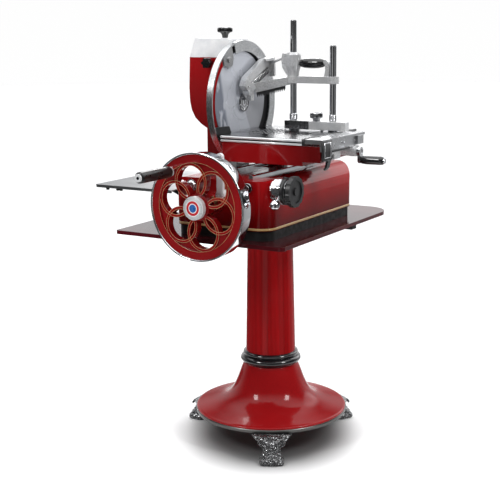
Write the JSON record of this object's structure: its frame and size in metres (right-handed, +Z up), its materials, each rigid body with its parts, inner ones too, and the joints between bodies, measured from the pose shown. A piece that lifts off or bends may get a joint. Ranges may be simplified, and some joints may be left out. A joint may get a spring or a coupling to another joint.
{
  "type": "deli meat slicer",
  "caption": "Hand-cranked flywheel meat slicer with round blade, sliding carriage, feed table, meat press and slice tray on a round pedestal stand with shelf.",
  "frame": {"origin": "floor level on the centre line of the pedestal column", "axes": "+Z up; +Y away from the operator, along the flywheel's shaft and the carriage's stroke; +X to the operator's right, from the blade to the feed crank, along the blade's own axis"},
  "size_m": [0.875, 0.994, 1.369],
  "materials": {
    "red_enamel": "deep glossy red enamel over cast iron",
    "shelf_enamel": "very glossy dark red enamel on steel plate",
    "black_enamel": "glossy black enamel",
    "black_iron": "cast iron painted satin black",
    "chrome": "mirror polished chrome plate",
    "bright_steel": "fine brushed stainless steel",
    "blade_steel": "ground and polished chromed tool steel",
    "dark_steel": "dark oiled steel",
    "cast_aluminium": "polished cast aluminium",
    "black_knob": "glossy black thermoset",
    "badge": null,
    "rubber": "black rubber",
    "bronze": "turned bronze bearing metal",
    "black_plastic": "matte black plastic"
  },
  "bodies": {
    "frame": {"cast_feet": "black_iron", "rim_band": "bright_steel", "pedestal_base": "red_enamel", "pedestal_collar": "black_enamel", "pedestal_column": "red_enamel", "mount_flange": "black_enamel", "tie_rod": "dark_steel", "stand_shelf": "shelf_enamel", "shelf_block": "rubber", "machine_plinth": "rubber", "base_casting": "red_enamel", "carriage_rails": "chrome", "oil_cap": "black_knob", "bearing_dome": "chrome", "wheel_bearing": "bronze", "dial_drum": "chrome", "drive_chain": "dark_steel", "blade_bearing": "bronze", "blade_housing": "red_enamel", "housing_cap": "cast_aluminium", "guard_ring": "cast_aluminium", "sharpener_head": "cast_aluminium", "blade_wiper": "black_plastic", "slice_tray": "bright_steel", "tray_bracket": "black_enamel"},
    "flywheel": {"wheel_shaft": "bright_steel", "flywheel": "red_enamel", "wheel_tyre": "chrome", "hub_badge": "badge", "handle_pin": "chrome"},
    "handle": {"handle_grip": "black_knob"},
    "cross_drive": {"cross_shaft": "dark_steel"},
    "crank": {"crank_wheel": "dark_steel"},
    "blade_unit": {"blade_shaft": "dark_steel", "blade": "blade_steel", "blade_hub": "chrome"},
    "latch": {"wheel_latch": "chrome"},
    "thickness_knob": {"dial_knob": "black_knob"},
    "thickness_lock": {"lock_lever": "chrome"},
    "sharpener_turn": {"sharpener_knob": "black_knob"},
    "sharpener_side": {"sharpener_lever": "black_knob"},
    "carriage": {"carriage_body": "red_enamel", "guide_blocks": "bright_steel", "carriage_yoke": "dark_steel", "feed_nut": "bronze"},
    "table": {"meat_table": "bright_steel", "table_rail": "bright_steel", "feed_housing": "black_enamel", "press_posts": "chrome"},
    "feed": {"feed_screw": "bright_steel", "feed_crank": "chrome"},
    "feed_handle": {"feed_grip": "black_knob"},
    "release": {"release_lever": "black_enamel"},
    "fence": {"fence_bar": "cast_aluminium", "fence_teeth": "black_plastic"},
    "fence_clamp": {"fence_knob": "chrome"},
    "press": {"press_arm": "cast_aluminium", "press_comb": "dark_steel", "press_grip": "black_knob", "press_plate": "cast_aluminium"}
  },
  "joints": [
    {"name": "flywheel_spin", "type": "hinge", "parent": "frame", "child": "flywheel", "pos_m": [0.004, -0.444, 0.835], "axis": [0, 1, 0], "continuous": true},
    {"name": "handle_spin", "type": "hinge", "parent": "flywheel", "child": "handle", "pos_m": [-0.08633, -0.52, 0.93532], "axis": [0, 1, 0], "continuous": true},
    {"name": "cross_spin", "type": "hinge", "parent": "frame", "child": "cross_drive", "pos_m": [-0.08, -0.092, 0.835], "axis": [1, 0, 0], "continuous": true},
    {"name": "crank_spin", "type": "hinge", "parent": "frame", "child": "crank", "pos_m": [0.004, 0.07, 0.88], "axis": [0, 0, 1], "continuous": true},
    {"name": "blade_spin", "type": "hinge", "parent": "frame", "child": "blade_unit", "pos_m": [-0.048, -0.092, 1.117], "axis": [1, 0, 0], "continuous": true},
    {"name": "latch_turn", "type": "hinge", "parent": "frame", "child": "latch", "pos_m": [0.052, -0.38, 0.868], "axis": [0, 1, 0], "range_deg": [0, 75]},
    {"name": "thickness_turn", "type": "hinge", "parent": "frame", "child": "thickness_knob", "pos_m": [0.25, -0.3, 0.88], "axis": [1, 0, 0], "range_deg": [0, 300]},
    {"name": "thickness_lock_turn", "type": "hinge", "parent": "frame", "child": "thickness_lock", "pos_m": [0.216, -0.3, 0.88], "axis": [1, 0, 0], "range_deg": [-20, 20]},
    {"name": "sharpener_spin", "type": "hinge", "parent": "frame", "child": "sharpener_turn", "pos_m": [-0.107, -0.092, 1.33], "axis": [0, 0, 1], "continuous": true},
    {"name": "sharpener_side_turn", "type": "hinge", "parent": "frame", "child": "sharpener_side", "pos_m": [-0.128, -0.16, 1.24], "axis": [0, 1, 0], "range_deg": [-45, 45]},
    {"name": "carriage_slide", "type": "slide", "parent": "frame", "child": "carriage", "axis": [0, 1, 0], "range_m": [-0.1, 0.1]},
    {"name": "table_feed", "type": "slide", "parent": "carriage", "child": "table", "axis": [1, 0, 0], "range_m": [0, 0.14]},
    {"name": "feed_turn", "type": "hinge", "parent": "table", "child": "feed", "pos_m": [0.345, -0.06, 0.978], "axis": [1, 0, 0], "range_deg": [0, 5041]},
    {"name": "feed_grip_spin", "type": "hinge", "parent": "feed", "child": "feed_handle", "pos_m": [0.39, -0.06, 0.953], "axis": [1, 0, 0], "continuous": true},
    {"name": "release_turn", "type": "hinge", "parent": "table", "child": "release", "pos_m": [0.306, -0.186, 0.97], "axis": [0, 1, 0], "range_deg": [-12, 12]},
    {"name": "fence_slide", "type": "slide", "parent": "table", "child": "fence", "axis": [0, 1, 0], "range_m": [-0.09, 0]},
    {"name": "fence_clamp_turn", "type": "hinge", "parent": "fence", "child": "fence_clamp", "pos_m": [0.178, -0.018, 1.07], "axis": [0, 0, 1], "continuous": true},
    {"name": "press_slide", "type": "slide", "parent": "table", "child": "press", "axis": [0, 0, 1], "range_m": [-0.075, 0.085]}
  ],
  "couplings": [
    {"joint": "cross_spin", "follows": "flywheel_spin", "ratio": -0.8},
    {"joint": "crank_spin", "follows": "flywheel_spin", "ratio": 1},
    {"joint": "blade_spin", "follows": "flywheel_spin", "ratio": -1.6},
    {"joint": "feed_turn", "follows": "table_feed", "rad_per_m": 628.32}
  ]
}
